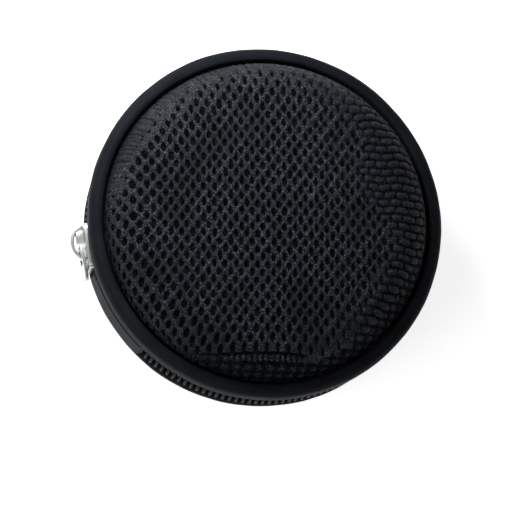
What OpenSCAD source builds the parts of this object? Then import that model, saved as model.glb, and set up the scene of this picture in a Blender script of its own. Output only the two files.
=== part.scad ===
// Round zipped hard case: two moulded foam shells, a coil zip, a fabric hinge and a net pocket

/* [Case] */
// Outer diameter over the two rims
case_d = 80; // [70:1:100]
// Overall height with the zip closed
case_h = 36; // [34:1:50]
// Radius of the rounded shoulder of each dome
shoulder_r = 8.5; // [6.5:0.5:10]
// Radius of the shallow crown of the lid
lid_crown_r = 260; // [180:10:600]
// Half of the opening between the two foam shells
rim_z = 4.8; // [4.8:0.1:5.5]

/* [Shell layers] */
// Thickness of the air mesh cover
cover_t = 0.9; // [0.6:0.1:1.2]
// Thickness of the moulded foam
foam_t = 3; // [2:0.1:4]
// Thickness of the knitted lining
lining_t = 0.7; // [0.5:0.1:1]
// Thickness of the adhesive film between two layers
glue = 0.05; // [0.02:0.01:0.08]

/* [Rims] */
// Width of the lid's rim, measured out from the dome
rim_w = 3.7; // [3:0.1:6]
// Amount by which the lid's rim stands out beyond the base's
rim_overhang = 0.6; // [0:0.1:0.8]
// Half of the opening between the two rims
band_z = 4.4; // [4.3:0.1:4.7]
// Height of one rim
band_h = 5; // [4:0.1:6]
// Radius of the rim's edge beside the zip
band_edge_r = 1; // [0.5:0.1:1.4]
// Radius of the rim's edge beside the dome
band_top_r = 2.4; // [1.5:0.1:2.4]
// Thickness of the binding tape round the mouth
binding_t = 0.5; // [0.4:0.1:0.7]
// Height of the binding tape on the inside
binding_h = 3.4; // [2.5:0.1:4.5]

/* [Zip] */
// Thickness of the woven tape
tape_t = 0.5; // [0.4:0.05:0.6]
// Height to which the tape is sewn up under the rim
tape_top_z = 8.2; // [7:0.1:8.8]
// Thickness of the coil on the tape
coil_t = 1.8; // [1.4:0.1:1.9]
// Height of one coil, across the chain
coil_h = 2.05; // [1.6:0.05:2.2]
// Distance from one turn of the coil to the next
coil_pitch = 1.5; // [1.2:0.1:2.5]
// Share of the pitch that one turn fills
turn_share = 0.5; // [0.4:0.01:0.5]
// Depth of the groove between two turns
turn_depth = 0.7; // [0.3:0.1:0.9]
// Share of the pitch that the head of a turn fills
head_share = 0.38; // [0.3:0.01:0.4]
// Reach of each head past the chain's middle, between the heads of the other coil
head_reach = 0.55; // [0.3:0.05:0.6]
// Half of the opening between the two tapes
chain_gap = 0.85; // [0.75:0.05:1]

/* [Hinge] */
// Width of the fabric hinge, as an angle round the case
hinge_angle = 28; // [20:1:40]
// Thickness of the outer hinge fabric
hinge_t = 0.6; // [0.4:0.1:0.8]
// Thickness of the inner hinge lining
hinge_lining_t = 0.5; // [0.4:0.1:0.6]
// Space between the outer hinge fabric and the inner lining
hinge_space = 0.35; // [0.3:0.05:0.5]
// Amount by which the inner lining is wider at each side than the outer fabric, as an angle
lining_lap_angle = 1; // [0.5:0.1:3]
// Gap between the hinge fabric and each end of the zip, as an angle
zip_end_angle = 1.5; // [0.5:0.1:2]

/* [Slider] */
// Distance of the closed slider's middle from the hinge fabric, as an angle round the case
slider_hinge_angle = 9.5; // [9.5:0.5:20]
// Length of the slider body
slider_l = 10.5; // [9:0.1:11]
// Thickness of the slider's outer plate
outer_plate_t = 1.2; // [1:0.1:1.4]
// Thickness of the slider's inner plate
inner_plate_t = 1.1; // [0.8:0.1:1.2]
// Wall of the slider beside the coils
flange_t = 0.85; // [0.6:0.05:0.9]
// Running clearance between the slider and the chain
run_gap = 0.3; // [0.25:0.05:0.35]
// Inset of the inner plate's outline inside the outer plate's
inner_inset = 0.25; // [0.15:0.05:0.4]
// Amount by which each side draws in towards the slider's narrow end
exit_taper = 0.25; // [0.1:0.05:0.35]
// Radius of the corners at the narrow end
exit_corner = 1.6; // [1:0.1:2.2]
// Radius of the corners at the wide end
mouth_corner = 1.1; // [0.8:0.1:2]
// Thickness of the neck between the slider's plates
neck_t = 1; // [0.8:0.1:1]
// Length of the neck
neck_l = 3; // [2:0.1:3.5]
// Distance of the neck from the slider's wide end
neck_inset = 0.8; // [0.6:0.1:1.5]
// Length of the bridge over the pull's bar
bridge_l = 8; // [7.5:0.1:8.4]
// Height of the bridge above the outer plate
bridge_h = 3; // [2.8:0.1:3.4]
// Thickness of the bridge's metal
bridge_t = 0.75; // [0.6:0.05:0.9]
// Width of the bridge
bridge_w = 2.2; // [1.8:0.1:2.4]
// Distance of the bridge from the slider's narrow end
bridge_inset = 0.1; // [0.1:0.1:0.4]
// Length of the pad under the bridge, from its middle towards the narrow end
pad_l = 2.4; // [2:0.1:2.6]
// Height of the pad
pad_h = 1.6; // [1:0.1:1.7]

/* [Pull] */
// Diameter of the bar that turns under the bridge
bar_d = 1; // [0.8:0.05:1]
// Distance of the bar from the bridge's middle, towards the wide end
bar_ahead = 1.2; // [1:0.1:1.4]
// Length of the pull from its bar to its tip
pull_l = 7.3; // [7.1:0.1:12]
// Width of the pull
pull_w = 4.9; // [4.6:0.1:6]
// Thickness of the pull
pull_t = 0.7; // [0.5:0.05:0.8]
// Length of the window round the bridge
window_l = 3.7; // [3.5:0.1:4]
// Clearance between the window and the bridge
window_gap = 0.35; // [0.3:0.05:0.5]
// Width of the pull beyond its window, along the pull
cross_l = 1.2; // [0.8:0.1:1.6]
// Radius of the pull's rounded tip
tip_r = 1.86; // [1.4:0.02:2.2]
// Clearance of the resting pull above the slider's edge
rest_gap = 0.24; // [0.2:0.02:0.4]

/* [Pocket] */
// Height of the net above the zip's middle line
net_z = 6.4; // [6.2:0.1:6.8]
// Thickness of the net
net_t = 0.5; // [0.4:0.1:0.6]
// Distance between two gaps in the net
net_pitch = 3.6; // [3.2:0.1:5]
// Width of one gap in the net
net_gap = 2.2; // [1.8:0.1:2.4]
// Width of the elastic hem
hem_w = 2.4; // [1.5:0.1:3]
// Thickness of the elastic hem
hem_t = 1.1; // [0.8:0.1:1.2]

/* [Stitching] */
// Length of one stitch in the binding
stitch_l = 2; // [1.5:0.1:3]
// Thickness of the thread
thread_t = 0.4; // [0.3:0.05:0.5]
// Distance from one stitch to the next
stitch_pitch = 3.4; // [3:0.1:5]
// Height of the seam above the edge of the foam
stitch_z = 1.9; // [1:0.1:2.4]

/* [Hidden] */
$fn = 128;

half_h = case_h / 2;
band_r = case_d / 2;
dome_r = band_r - rim_w;
shoulder_steps = 12;
crown_steps = 5;
corner_steps = 6;

// Radii of the layers of the wall, from the cover inwards
shell_inset = cover_t + glue;
lining_inset = shell_inset + foam_t + glue;
inside_inset = lining_inset + lining_t;
mouth_r = dome_r - inside_inset - glue - binding_t;
pocket_r = mouth_r - thread_t - 2 * glue;

// Radii of the zip, from the tape outwards
tape_in_r = dome_r + glue;
tape_out_r = tape_in_r + tape_t;
coil_in_r = tape_out_r + glue;
coil_out_r = coil_in_r + coil_t;
coil_top_z = chain_gap + coil_h;

// The zip runs from one side of the hinge round the front to the other side
hinge_mid_angle = 90;
zip_from_angle = hinge_mid_angle + hinge_angle / 2 + zip_end_angle;
zip_sweep_angle = 360 - hinge_angle - 2 * zip_end_angle;
slider_angle = hinge_mid_angle - hinge_angle / 2 - slider_hinge_angle;
turns = floor(zip_sweep_angle * PI / 180 * coil_out_r / coil_pitch);
closed_to = slider_angle + 360;
head_root = 0.1;
head_inset = 0.2;

// The slider in its own frame: x outwards, y along the chain towards its wide end
slider_in_x = coil_out_r + run_gap;
slider_out_x = slider_in_x + outer_plate_t;
inner_plate_x = sqrt(pow(tape_in_r, 2) - pow(slider_l / 2, 2)) - run_gap;
slot_x = tape_out_r + run_gap;
channel_z = coil_top_z + run_gap;
bridge_y = bridge_inset + (bridge_l - slider_l) / 2;
bar_y = bridge_y + bar_ahead;
bar_x = slider_out_x + bar_d;
bar_root = 0.2;

// Points on a round corner, from one angle to another
function arc(c, r, from, to, n) = [for (i = [0:n]) c + r * [cos(from + (to - from) * i / n),
    sin(from + (to - from) * i / n)]];

// Profile of a dome, set in from the outside of its cover. A crown of 0 leaves the top flat
function dome_line(inset, crown_r, from_z) =
    let (
        r = shoulder_r - inset,
        turn_r = dome_r - shoulder_r,
        lean = crown_r > 0 ? asin(turn_r / (crown_r - shoulder_r)) : 0,
        turn_z = half_h - (crown_r > 0 ? crown_r - (crown_r - shoulder_r) * cos(lean) : shoulder_r),
        side = [[dome_r - inset, from_z]],
        shoulder = arc([turn_r, turn_z], r, 0, 90 - lean, shoulder_steps),
        top = crown_r > 0
            ? [for (i = [1:crown_steps]) let (a = lean * (1 - i / crown_steps))
                [0, half_h - crown_r] + (crown_r - inset) * [sin(a), cos(a)]]
            : [[0, half_h - inset]]
    )
    concat(side, shoulder, top);

function backwards(points) = [for (i = [len(points) - 1:-1:0]) points[i]];

// One layer of a dome, between two insets
module dome_layer(outer, inner, crown_r) {
    rotate_extrude()
        polygon(concat(dome_line(outer, crown_r, rim_z), backwards(dome_line(inner, crown_r, rim_z))));
}

// A ring round the case, open at the hinge
module round_zip() {
    rotate([0, 0, zip_from_angle]) rotate_extrude(angle = zip_sweep_angle) children();
}

module in_hinge(extra = 0) {
    half = hinge_angle / 2 + extra;
    rotate([0, 0, hinge_mid_angle - half]) rotate_extrude(angle = 2 * half) children();
}

// The rolled rim round one shell
module rim(r) {
    edge = arc([r - band_edge_r, band_z + band_edge_r], band_edge_r, -90, 0, corner_steps);
    top = arc([r - band_top_r, band_z + band_h - band_top_r], band_top_r, 0, 90, corner_steps);
    inside = [[coil_in_r, band_z + band_h], [coil_in_r, band_z]];
    rotate_extrude() polygon(concat(edge, top, inside));
}

// Binding tape that closes the edges of the layers round the mouth
module mouth_binding() {
    edge_z = rim_z - glue;
    rotate_extrude() polygon([
        [mouth_r, edge_z - binding_t],
        [dome_r, edge_z - binding_t],
        [dome_r, edge_z],
        [mouth_r + binding_t, edge_z],
        [mouth_r + binding_t, edge_z + binding_h],
        [mouth_r, edge_z + binding_h]
    ]);
}

// Running stitches in the binding
module mouth_stitches() {
    r = mouth_r - thread_t / 2;
    count = floor(2 * PI * r / stitch_pitch);
    for (i = [0:count - 1])
        rotate([0, 0, 360 * (i + 0.5) / count])
            translate([r - thread_t / 2 - glue, -stitch_l / 2, rim_z + stitch_z])
                cube([thread_t, stitch_l, thread_t]);
}

module zip_tape() {
    round_zip() translate([tape_in_r, chain_gap]) square([tape_t, tape_top_z - chain_gap]);
}

function on_circle(r, a) = r * [cos(a), sin(a)];

// Coil of the zip: a rib for each turn, and a head on each turn that the slider has closed.
// stagger is the place of a turn within its pitch, so that the two coils' heads lie side by side
module zip_coil(stagger) {
    step = zip_sweep_angle / turns;
    root_r = coil_out_r - turn_depth;
    end = zip_from_angle + zip_sweep_angle;
    middles = [for (i = [0:turns - 1]) zip_from_angle + (i + stagger) * step];
    inner = [for (i = [turns:-1:0]) on_circle(coil_in_r, zip_from_angle + i * step)];
    ribs = [for (a = middles, c = [-1, -0.6, 0.6, 1])
        on_circle(abs(c) == 1 ? root_r : coil_out_r, a + c * turn_share / 2 * step)];
    translate([0, 0, chain_gap]) linear_extrude(coil_h)
        polygon(concat([on_circle(root_r, zip_from_angle)], ribs, [on_circle(root_r, end)], inner));
    translate([0, 0, -head_reach]) linear_extrude(head_reach + chain_gap + head_root)
        for (a = middles)
            if (a < closed_to)
                polygon([for (r = [coil_in_r + head_inset, coil_out_r - head_inset], side = [-1, 1])
                    on_circle(r, a + (r < root_r ? side : -side) * head_share / 2 * step)]);
}

// Slider body seen from outside, along the chain and across it, narrower at its closed end
function slider_plan(inset) =
    let (
        half_l = slider_l / 2 - inset,
        exit_z = channel_z + flange_t - exit_taper - inset,
        mouth_z = channel_z + flange_t - inset,
        narrow = [exit_corner - half_l, exit_z - exit_corner],
        wide = [half_l - mouth_corner, mouth_z - mouth_corner],
        side = concat(
            arc(narrow, exit_corner, 180, 90, corner_steps),
            arc(wide, mouth_corner, 90, 0, corner_steps)
        )
    )
    concat(side, backwards([for (p = side) [p.x, -p.y]]));

module at_slider() {
    translate([0, 0, half_h]) rotate([0, 0, slider_angle]) children();
}

module upper_half() {
    translate([0, 0, half_h]) children();
}

module lower_half() {
    translate([0, 0, half_h]) mirror([0, 0, 1]) children();
}

// Extrudes a drawing of the slider, made along and across the chain, outwards from x
module outwards(x, depth) {
    translate([x, 0, 0]) rotate([90, 0, 90]) linear_extrude(depth) children();
}

// Half oval of the bridge above the slider's outer plate
function bridge_line(inset) = [for (i = [0:16])
    let (a = i * 180 / 16)
    [slider_out_x + (bridge_h - inset) * sin(a), bridge_y - (bridge_l / 2 - inset) * cos(a)]];

module base_shell() {
    color("dimgray") lower_half() dome_layer(shell_inset, lining_inset - glue, 0);
}

module base_cover() {
    color("#2b2e33") lower_half() dome_layer(0, cover_t, 0);
}

module base_lining() {
    color("#3a3c40") lower_half() dome_layer(lining_inset, inside_inset, 0);
}

module base_binding() {
    color("#1c1d20") lower_half() mouth_binding();
}

module base_band() {
    color("#202226") lower_half() rim(band_r - rim_overhang);
}

module base_stitches() {
    color("#45484d") lower_half() mouth_stitches();
}

module lower_tape() {
    color("#26282c") lower_half() zip_tape();
}

module lower_coil() {
    color("#17181a") lower_half() zip_coil(0.75);
}

module lid_shell() {
    color("dimgray") upper_half() dome_layer(shell_inset, lining_inset - glue, lid_crown_r);
}

module lid_cover() {
    color("#2b2e33") upper_half() dome_layer(0, cover_t, lid_crown_r);
}

module lid_lining() {
    color("#3a3c40") upper_half() dome_layer(lining_inset, inside_inset, lid_crown_r);
}

module lid_binding() {
    color("#1c1d20") upper_half() mouth_binding();
}

module lid_band() {
    color("#202226") upper_half() rim(band_r);
}

module lid_stitches() {
    color("#45484d") upper_half() mouth_stitches();
}

module upper_tape() {
    color("#26282c") upper_half() zip_tape();
}

module upper_coil() {
    color("#17181a") upper_half() zip_coil(0.25);
}

// Net over the half of the lid beside the hinge, its gaps set on the diagonal
module pocket_net() {
    solid_r = pocket_r - net_gap;
    rows = ceil(pocket_r / net_pitch);
    color("#303237") upper_half() translate([0, 0, net_z]) linear_extrude(net_t) difference() {
        intersection() {
            circle(pocket_r);
            translate([-pocket_r, hem_w / 2 + glue]) square([2 * pocket_r, pocket_r]);
        }
        for (i = [-rows:rows], j = [1:rows], shift = [0, 0.5]) {
            x = (i + shift) * net_pitch;
            y = hem_w / 2 + (j + shift - 0.2) * net_pitch;
            if (norm([x, y]) + net_gap / 2 < solid_r)
                translate([x, y]) rotate(45) square(net_gap / sqrt(2), center = true);
        }
    }
}

// Elastic hem along the open edge of the pocket
module pocket_hem() {
    color("#1c1d20") upper_half() translate([0, 0, net_z + net_t / 2 - hem_t / 2]) linear_extrude(hem_t)
        intersection() {
            circle(pocket_r);
            translate([-pocket_r, -hem_w / 2]) square([2 * pocket_r, hem_w]);
        }
}

// Outer hinge fabric: sewn under both rims and puffed out between them
module hinge_strip() {
    puff_r = band_r - band_edge_r - hinge_t;
    under = band_z - 2 * glue;
    tuck_r = 0.4;
    tuck_z = 0.9;
    line = [
        [tape_in_r, tape_top_z],
        [tape_in_r, under],
        [puff_r - tuck_r, band_z - tuck_z],
        [puff_r, band_z / 3]
    ];
    inside = concat(line, backwards([for (p = line) [p.x, -p.y]]));
    outside = [for (p = inside) [p.x + (abs(p.y) < under ? hinge_t : tape_t), p.y]];
    color("#33363b") upper_half() in_hinge() polygon(concat(inside, backwards(outside)));
}

// Inner hinge lining between the two bindings
module hinge_lining() {
    half = rim_z - binding_t - 2 * glue;
    color("#3a3c40") upper_half() in_hinge(lining_lap_angle)
        translate([tape_in_r - hinge_space - hinge_lining_t, -half]) square([hinge_lining_t, 2 * half]);
}

// Two plates round the chain, joined by the neck, with walls beside the coils
module slider_body() {
    color("silver") at_slider() {
        outwards(slider_in_x, outer_plate_t) polygon(slider_plan(0));
        outwards(slot_x, slider_in_x - slot_x) difference() {
            polygon(slider_plan(0));
            square([2 * slider_l, 2 * channel_z], center = true);
        }
        outwards(inner_plate_x - inner_plate_t, inner_plate_t) polygon(slider_plan(inner_inset));
        outwards(inner_plate_x, slider_in_x - inner_plate_x)
            translate([slider_l / 2 - neck_inset - neck_l, -neck_t / 2]) square([neck_l, neck_t]);
        outwards(slider_out_x, pad_h)
            translate([bridge_y - pad_l, -bridge_w / 2]) square([pad_l, bridge_w]);
    }
}

module slider_bridge() {
    color("silver") at_slider() translate([0, 0, -bridge_w / 2]) linear_extrude(bridge_w)
        polygon(concat(bridge_line(0), backwards(bridge_line(bridge_t))));
}

// Pull plate with a window round the bridge and a bar that turns under it
module pull_tab() {
    arm_z = bridge_w / 2 + window_gap;
    lean = atan((bar_x - slider_out_x - pull_t / 2 - rest_gap) / (slider_l / 2 - bar_y));
    color("gainsboro") at_slider() translate([bar_x, bar_y, 0]) {
        cylinder(h = 2 * (arm_z + bar_root), d = bar_d, center = true);
        rotate([0, 0, lean]) outwards(-pull_t / 2, pull_t) difference() {
            union() {
                translate([-bar_d / 2, -pull_w / 2]) square([window_l + bar_d / 2 + cross_l, pull_w]);
                polygon([[window_l, pull_w / 2], [pull_l - tip_r, tip_r], [pull_l - tip_r, -tip_r],
                    [window_l, -pull_w / 2]]);
                translate([pull_l - tip_r, 0]) circle(tip_r);
            }
            translate([-bar_d, -arm_z]) square([window_l + bar_d, 2 * arm_z]);
        }
    }
}

base_shell();
base_cover();
base_lining();
base_binding();
base_band();
base_stitches();
lower_tape();
lower_coil();
lid_shell();
lid_cover();
lid_lining();
lid_binding();
lid_band();
lid_stitches();
upper_tape();
upper_coil();
pocket_net();
pocket_hem();
hinge_strip();
hinge_lining();
slider_body();
slider_bridge();
pull_tab();
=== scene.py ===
# %% [markdown]
# A small round zipped hard case, seen almost from above.
# The case is two moulded foam shells under a knitted air mesh, joined by a zip and a fabric hinge.
# The solids come from the CAD frame, and this notebook gives each of them its real surface:
# knit, satin, nylon and plated metal.

# %% Load the frame
import math

import bpy
import numpy as np
from mathutils import Matrix, Vector


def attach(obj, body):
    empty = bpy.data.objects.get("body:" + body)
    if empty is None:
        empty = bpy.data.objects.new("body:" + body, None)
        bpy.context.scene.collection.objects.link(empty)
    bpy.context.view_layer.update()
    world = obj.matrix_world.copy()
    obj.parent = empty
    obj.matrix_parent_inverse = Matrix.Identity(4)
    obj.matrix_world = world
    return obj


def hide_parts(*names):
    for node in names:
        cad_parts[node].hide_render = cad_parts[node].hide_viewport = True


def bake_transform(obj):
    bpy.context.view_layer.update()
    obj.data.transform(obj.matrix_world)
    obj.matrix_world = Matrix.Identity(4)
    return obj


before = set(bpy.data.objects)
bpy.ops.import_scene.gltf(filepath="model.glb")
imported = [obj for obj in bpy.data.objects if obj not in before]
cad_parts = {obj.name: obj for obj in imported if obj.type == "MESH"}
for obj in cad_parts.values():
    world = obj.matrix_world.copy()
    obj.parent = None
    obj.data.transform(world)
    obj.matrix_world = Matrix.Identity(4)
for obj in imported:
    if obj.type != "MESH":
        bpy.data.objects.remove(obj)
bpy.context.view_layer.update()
bpy.ops.object.select_all(action="DESELECT")

# %% [markdown]
# Every piece is written in millimetres and scaled to metres in one place.
# The two halves of the case mirror each other about the middle of the zip, so a shape is drawn once
# for the lid, as distances above that middle, and turned over for the base.

# %% Sizes of the case
MM = 0.001
ZIP_Z = 18.0
DOME_R = 36.3
SHOULDER_R = 8.5
LID_CROWN_R = 260.0
RIM_Z = 4.8
RIM_R = {"lid": 40.0, "base": 39.4}
BAND_Z = 4.4
BAND_H = 5.0
TAPE_IN_R = 36.35
TAPE_OUT_R = 36.85
COIL_IN_R = 36.9
COIL_OUT_R = 38.95
MOUTH_R = 31.05
HINGE_MIDDLE = 90.0
HINGE_HALF = 14.0
ZIP_START = 105.5
ZIP_SWEEP = 329.0
TURNS = 148
SLIDER_ANGLE = 66.5


def lid_side(height):
    """Height above the floor of a point on the lid, from its height above the zip."""
    return ZIP_Z + height


def base_side(height):
    """The same point on the base, turned over about the middle of the zip."""
    return ZIP_Z - height


SIDES = {"lid": lid_side, "base": base_side}
print("widths in mm:", {side_name: 2 * radius for side_name, radius in RIM_R.items()})

# %% [markdown]
# The camera looks down steeply from the side of the hinge, with the case turned in the picture.
# Two directions fix it: the side that it leans towards, and the direction on the floor that points
# up in the picture.

# %% Camera
LEAN_TOWARDS = math.radians(110.5)
CAMERA_HEIGHT_ANGLE = math.radians(74.0)
PICTURE_UP = math.radians(-32.0)
CAMERA_DISTANCE = 0.8
SENSOR = 36.0
PICTURE_SIDE = 512.0
PIXELS_PER_METRE = 4445.0
CASE_IN_PICTURE = (260.2, 229.5)

back = Vector((
    math.cos(LEAN_TOWARDS) * math.cos(CAMERA_HEIGHT_ANGLE),
    math.sin(LEAN_TOWARDS) * math.cos(CAMERA_HEIGHT_ANGLE),
    math.sin(CAMERA_HEIGHT_ANGLE),
))
up_on_floor = Vector((math.cos(PICTURE_UP), math.sin(PICTURE_UP), 0.0))
picture_up = (up_on_floor - up_on_floor.dot(back) * back).normalized()
picture_right = picture_up.cross(back)
offset_right = (PICTURE_SIDE / 2 - CASE_IN_PICTURE[0]) / PIXELS_PER_METRE
offset_up = (CASE_IN_PICTURE[1] - PICTURE_SIDE / 2) / PIXELS_PER_METRE
aim = Vector((0.0, 0.0, ZIP_Z * MM)) + picture_right * offset_right + picture_up * offset_up

bpy.ops.object.camera_add()
camera = bpy.context.object
camera.name = "camera"
turn = Matrix((picture_right, picture_up, back)).transposed()
camera.matrix_world = Matrix.Translation(aim + back * CAMERA_DISTANCE) @ turn.to_4x4()
camera.data.sensor_width = SENSOR
camera.data.lens = SENSOR * CAMERA_DISTANCE * PIXELS_PER_METRE / PICTURE_SIDE
camera.data.clip_start = 0.01
camera.data.clip_end = 20.0
bpy.context.scene.camera = camera
print("lens in mm:", round(camera.data.lens, 1))

# %% [markdown]
# Shader maths reads best as plain expressions.
# One small class wraps a socket, so that adding or multiplying two of them adds a Math node,
# and one method makes every other kind of node.


# %% Shader expressions
class Value:
    """A socket of a finish that can be used in sums."""

    def __init__(self, finish, socket):
        self.finish = finish
        self.socket = socket

    def __add__(self, other):
        return self.finish.maths("ADD", self, other)

    __radd__ = __add__

    def __mul__(self, other):
        return self.finish.maths("MULTIPLY", self, other)

    __rmul__ = __mul__

    def __sub__(self, other):
        return self.finish.maths("SUBTRACT", self, other)

    def __rsub__(self, other):
        return self.finish.maths("SUBTRACT", other, self)

    def other(self, output):
        """Another output of the same node."""
        return Value(self.finish, self.socket.node.outputs[output])


class Finish:
    """A material of the case, with its nodes."""

    def __init__(self, name):
        self.material = bpy.data.materials.new(name)
        self.material.use_nodes = True
        self.tree = self.material.node_tree
        self.tree.nodes.clear()
        self.output = self.tree.nodes.new("ShaderNodeOutputMaterial")

    def node(self, kind, settings=None, inputs=None, output=0):
        """Adds a node, with its settings first and then the values or links of its sockets."""
        made = self.tree.nodes.new(kind)
        for key, value in (settings or {}).items():
            setattr(made, key, value)
        for key, value in (inputs or {}).items():
            self.feed(made.inputs[key], value)
        return Value(self, made.outputs[output])

    def feed(self, socket, value):
        if isinstance(value, Value):
            self.tree.links.new(value.socket, socket)
        else:
            socket.default_value = value

    def maths(self, operation, *terms):
        return self.node("ShaderNodeMath", {"operation": operation}, dict(enumerate(terms)))

    def wave(self, value):
        """Cosine that runs from 0 to 1."""
        return self.maths("COSINE", value) * 0.5 + 0.5

    def step(self, value, low, high):
        """Runs smoothly from 0 at low to 1 at high."""
        return self.node("ShaderNodeMapRange", {"interpolation_type": "SMOOTHSTEP"},
                         {"Value": value, "From Min": low, "From Max": high})

    def noise(self, place, scale, detail):
        return self.node("ShaderNodeTexNoise", {},
                         {"Vector": place, "Scale": scale, "Detail": detail})

    def object_place(self):
        return self.node("ShaderNodeTexCoord", output="Object")

    def cloth_place(self):
        """The piece's own cloth coordinates, in millimetres."""
        return self.node("ShaderNodeUVMap", {"uv_map": "cloth"})

    def parts_of(self, place):
        """The first and second coordinate of a place."""
        first = self.node("ShaderNodeSeparateXYZ", {}, {0: place})
        return first, first.other(1)

    def blend_colours(self, factor, first, second):
        first, second = (c if isinstance(c, Value) else (*c, 1.0) for c in (first, second))
        return self.node("ShaderNodeMix", {"data_type": "RGBA"},
                         {0: factor, 6: first, 7: second}, output=2)

    def bump(self, height, distance, strength):
        return self.node("ShaderNodeBump", {},
                         {"Height": height, "Distance": distance, "Strength": strength})

    def shader(self, **sockets):
        named = {key.replace("_", " "): value for key, value in sockets.items()}
        return self.node("ShaderNodeBsdfPrincipled", {}, named)

    def finished(self, shader):
        self.feed(self.output.inputs[0], shader)
        print(self.material.name, len(self.tree.nodes), "nodes")
        return self.material

    def surface(self, **sockets):
        return self.finished(self.shader(**sockets))

    def surface_of_two(self, factor, under, over):
        """Shows one shader where the factor is 0 and the other where it is 1."""
        return self.finished(self.node("ShaderNodeMixShader", {}, {0: factor, 1: under, 2: over}))


# %% [markdown]
# The air mesh is a warp knit with staggered rows of oval holes.
# Its mesh carries the depth of every hole and gap, from 0 at the bottom to 1 on top of a strand,
# so the finish is dark exactly where the cloth is deep: the holes and gaps carry painted shade.
# The finish adds what is too fine to model: the filaments in each strand, and small glints that
# are painted highlights in the yarn's colour.


# %% Air mesh
YARN_DARK = (0.0016, 0.0022, 0.0034)
YARN_LIGHT = (0.0180, 0.0222, 0.0290)
YARN_SWOLLEN = (0.0142, 0.0172, 0.0238)
# Painted highlight: the colour of the small glints on the yarn.
PAINTED_GLINT = (0.070, 0.083, 0.104)
# Painted shade: the near-black colours of the holes and gaps, laid where the cloth is deep.
GAP_DARK = (0.0006, 0.0008, 0.0013)
GAP_LIGHT = (0.005, 0.0065, 0.009)


def air_mesh_finish():
    finish = Finish("air mesh")
    top = finish.node("ShaderNodeAttribute", {"attribute_name": "relief"}, output="Fac")
    swollen = finish.node("ShaderNodeAttribute", {"attribute_name": "swollen"}, output="Fac")
    across, up = finish.parts_of(finish.cloth_place())
    place = finish.object_place()
    fine = finish.noise(place, 3000.0, 1.0)
    glints = finish.noise(place, 2500.0, 1.0)
    coarse = finish.noise(place, 1300.0, 2.0)
    broad = finish.noise(place, 90.0, 2.0)
    filaments = finish.wave(across * 21.0 + finish.wave(up * 3.65) * 5.0)
    on_strand = finish.step(top + (fine - 0.5) * 0.60, 0.34, 0.64)
    yarn = finish.blend_colours(finish.step(fine * 0.7 + coarse * 0.3, 0.41, 0.59),
                                YARN_DARK, YARN_LIGHT)
    # Painted highlight: small spots of the yarn are painted bright as glints of the lamp.
    shining = finish.step(glints, 0.55, 0.66) * finish.step(broad, 0.28, 0.55)
    yarn = finish.blend_colours(shining, yarn, PAINTED_GLINT)
    yarn = finish.blend_colours(swollen * 0.6, yarn, YARN_SWOLLEN)
    height = filaments * 0.3 + fine * 0.9 + coarse * 0.5 + on_strand * 0.8
    # The holes and gaps get painted shade, a near-black colour with almost no shine.
    under = finish.blend_colours(finish.step(coarse, 0.45, 0.65), GAP_DARK, GAP_LIGHT)
    shaded_gap = finish.shader(Base_Color=under, Roughness=0.9, Specular_IOR_Level=0.05)
    thread = finish.shader(
        Base_Color=yarn,
        Roughness=coarse * 0.2 + 0.45,
        Normal=finish.bump(height, 0.00016, 0.9),
        Specular_IOR_Level=0.16,
    )
    return finish.surface_of_two(on_strand, shaded_gap, thread)


AIR_MESH = air_mesh_finish()

# %% [markdown]
# The rims and the hinge are a smooth satin fabric with a fine twill and a low shine.
# The twill reads the cloth's own coordinates, so that it follows the strip round the case.


# %% Satin rim fabric
def rim_fabric_finish():
    finish = Finish("rim fabric")
    cloth = finish.cloth_place()
    along, up = finish.parts_of(cloth)
    place = finish.object_place()
    drawn_out = finish.node("ShaderNodeVectorMath", {"operation": "MULTIPLY"},
                            {0: cloth, 1: (0.05, 0.8, 0.0)})
    creases = finish.noise(drawn_out, 1.0, 2.0)
    twill = (finish.wave((along + up) * (2 * math.pi / 0.42))
             * finish.wave((along - up) * (2 * math.pi / 0.9)))
    soft = finish.noise(place, 160.0, 3.0)
    fine = finish.noise(place, 3000.0, 2.0)
    colour = finish.blend_colours(finish.step(soft, 0.3, 0.7),
                                  (0.0054, 0.0064, 0.0084), (0.0094, 0.0110, 0.0140))
    return finish.surface(
        Base_Color=colour,
        Roughness=soft * 0.16 + 0.58,
        Normal=finish.bump(twill * 0.8 + fine * 0.5 + soft * 1.5 + creases * 8.0, 0.00006, 0.6),
        Specular_IOR_Level=0.13,
        Specular_Tint=(0.78, 0.88, 1.0, 1.0),
    )


RIM_FABRIC = rim_fabric_finish()

# %% [markdown]
# The zip's coils are nylon thread with a soft shine, and its tapes a close weave. The weave is too
# fine here to be worth modelling, so two crossed waves give it, in the colour and in the bump.


# %% Zip finishes
def coil_finish():
    finish = Finish("coil nylon")
    fine = finish.noise(finish.object_place(), 1500.0, 2.0)
    colour = finish.blend_colours(fine, (0.004, 0.0046, 0.006), (0.010, 0.0115, 0.014))
    return finish.surface(
        Base_Color=colour,
        Roughness=fine * 0.15 + 0.42,
        Normal=finish.bump(fine, 0.00002, 0.4),
        Specular_IOR_Level=0.11,
    )


def woven_finish(name, dark, light, rib, shine=0.7):
    """A woven tape with ribs of the given width in millimetres."""
    finish = Finish(name)
    along, up = finish.parts_of(finish.cloth_place())
    ribs = finish.wave(along * (2 * math.pi / rib)) * finish.wave(up * (2 * math.pi / rib) * 0.5)
    fine = finish.noise(finish.object_place(), 2600.0, 3.0)
    colour = finish.blend_colours(finish.step(ribs * 0.6 + fine * 0.4, 0.1, 0.7), dark, light)
    return finish.surface(
        Base_Color=colour,
        Roughness=fine * 0.15 + shine,
        Normal=finish.bump(ribs + fine * 0.5, 0.00008, 0.7),
        Sheen_Weight=0.1,
    )


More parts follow.
